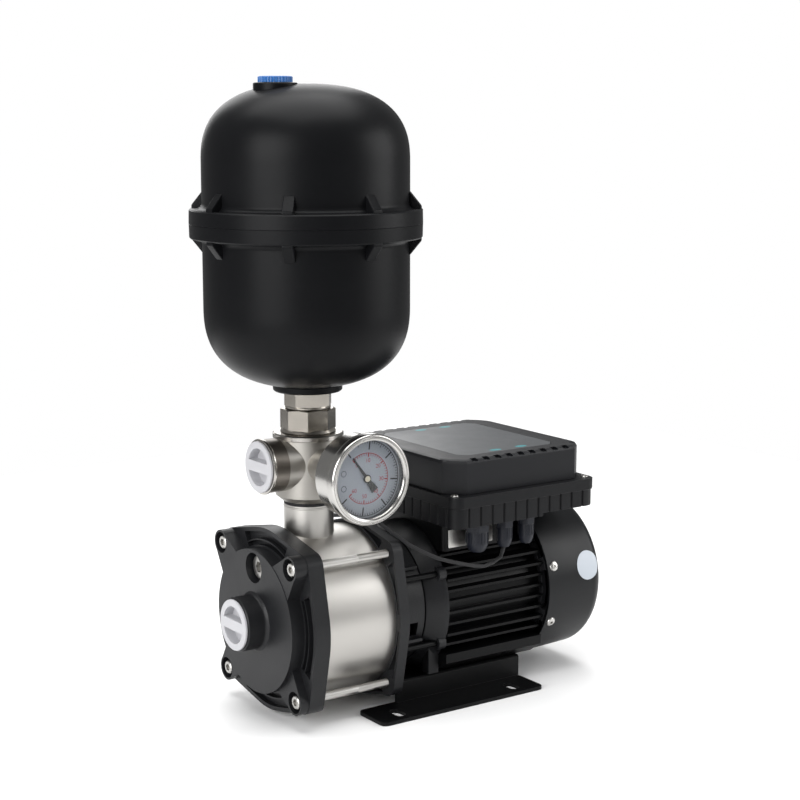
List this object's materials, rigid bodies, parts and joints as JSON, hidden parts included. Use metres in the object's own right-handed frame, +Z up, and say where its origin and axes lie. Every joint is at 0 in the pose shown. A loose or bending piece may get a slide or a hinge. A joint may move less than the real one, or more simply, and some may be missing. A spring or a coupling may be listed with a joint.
{
  "type": "horizontal multistage pump set",
  "caption": "Horizontal multistage centrifugal pump on a finned motor, with a pressure tank, a gauge and a speed drive, for boosting water pressure in a building.",
  "frame": {"origin": "middle of the bounding box in plan, on the plane that the base bracket stands on", "axes": "+X from the suction cover to the fan cover, along the shaft; +Z up along the tank; -Y is the side of the gauge's dial"},
  "size_m": [0.3362, 0.1764, 0.4864],
  "materials": {
    "cast_black": "matte casting paint",
    "paint_black": "satin paint",
    "stainless": "brushed satin",
    "bright_steel": "polished",
    "nickel": "nickel plated",
    "dark_steel": "bare laminations",
    "white_plastic": "moulded semi-gloss",
    "black_plastic": "moulded satin",
    "grey_plastic": "moulded satin",
    "label_grey": "film",
    "tank_black": "moulded satin",
    "blue_cap": "moulded satin",
    "rubber": "matte",
    "carbon": "lapped carbon",
    "copper": "varnished windings on a steel core",
    "board_green": "coated board",
    "dial_paint": "matte paint",
    "clear_glass": "clear"
  },
  "bodies": {
    "pump": {"suction_cover": "cast_black", "motor_bracket": "cast_black", "rear_end_shield": "cast_black", "motor_frame": "paint_black", "fan_cover": "paint_black", "base_bracket": "paint_black", "terminal_base": "paint_black", "pump_sleeve": "stainless", "stage_bowl_1": "stainless", "stage_bowl_2": "stainless", "stage_bowl_3": "stainless", "outlet_fitting": "stainless", "pressure_sensor": "stainless", "tie_bolt_1": "bright_steel", "tie_bolt_2": "bright_steel", "tie_bolt_3": "bright_steel", "tie_bolt_4": "bright_steel", "front_bearing": "bright_steel", "rear_bearing": "bright_steel", "motor_bolt_1": "bright_steel", "motor_bolt_2": "bright_steel", "motor_bolt_3": "bright_steel", "motor_bolt_4": "bright_steel", "rating_plate": "bright_steel", "gauge_case": "bright_steel", "gauge_bezel": "bright_steel", "air_valve": "bright_steel", "union_nut": "nickel", "tank_adapter": "nickel", "controller_base": "black_plastic", "gland_1": "black_plastic", "gland_2": "black_plastic", "gland_3": "black_plastic", "controller_cover": "grey_plastic", "keypad_label": "label_grey", "tank_lower_shell": "tank_black", "tank_upper_shell": "tank_black", "sleeve_seal_front": "rubber", "sleeve_seal_rear": "rubber", "fitting_o_ring": "rubber", "tank_membrane": "rubber", "sensor_lead": "rubber", "seal_seat": "carbon", "stator": "copper", "drive_board": "board_green", "gauge_dial": "dial_paint", "gauge_lens": "clear_glass"},
    "rotor": {"shaft": "bright_steel", "impeller_1": "stainless", "impeller_2": "stainless", "impeller_3": "stainless", "impeller_nut": "bright_steel", "seal_head": "carbon", "rotor_core": "dark_steel", "fan": "black_plastic"},
    "pointer": {"gauge_needle": "paint_black"},
    "suction_closure": {"suction_plug": "white_plastic"},
    "outlet_closure": {"outlet_plug": "white_plastic"},
    "priming_closure": {"priming_plug": "bright_steel"},
    "valve_cover": {"air_cap": "blue_cap"}
  },
  "joints": [
    {"name": "shaft_spin", "type": "hinge", "parent": "pump", "child": "rotor", "pos_m": [0, 0, 0.075], "axis": [1, 0, 0], "continuous": true},
    {"name": "needle_turn", "type": "hinge", "parent": "pump", "child": "pointer", "pos_m": [-0.0799, -0.08, 0.1948], "axis": [0, 1, 0], "range_deg": [0, 270]},
    {"name": "suction_plug_out", "type": "slide", "parent": "pump", "child": "suction_closure", "axis": [-1, 0, 0], "range_m": [0, 0.025]},
    {"name": "outlet_plug_out", "type": "slide", "parent": "pump", "child": "outlet_closure", "axis": [-1, 0, 0], "range_m": [0, 0.025]},
    {"name": "priming_plug_out", "type": "slide", "parent": "pump", "child": "priming_closure", "axis": [-1, 0, 0], "range_m": [0, 0.03]},
    {"name": "air_cap_off", "type": "slide", "parent": "pump", "child": "valve_cover", "axis": [0, 0, 1], "range_m": [0, 0.02]}
  ]
}
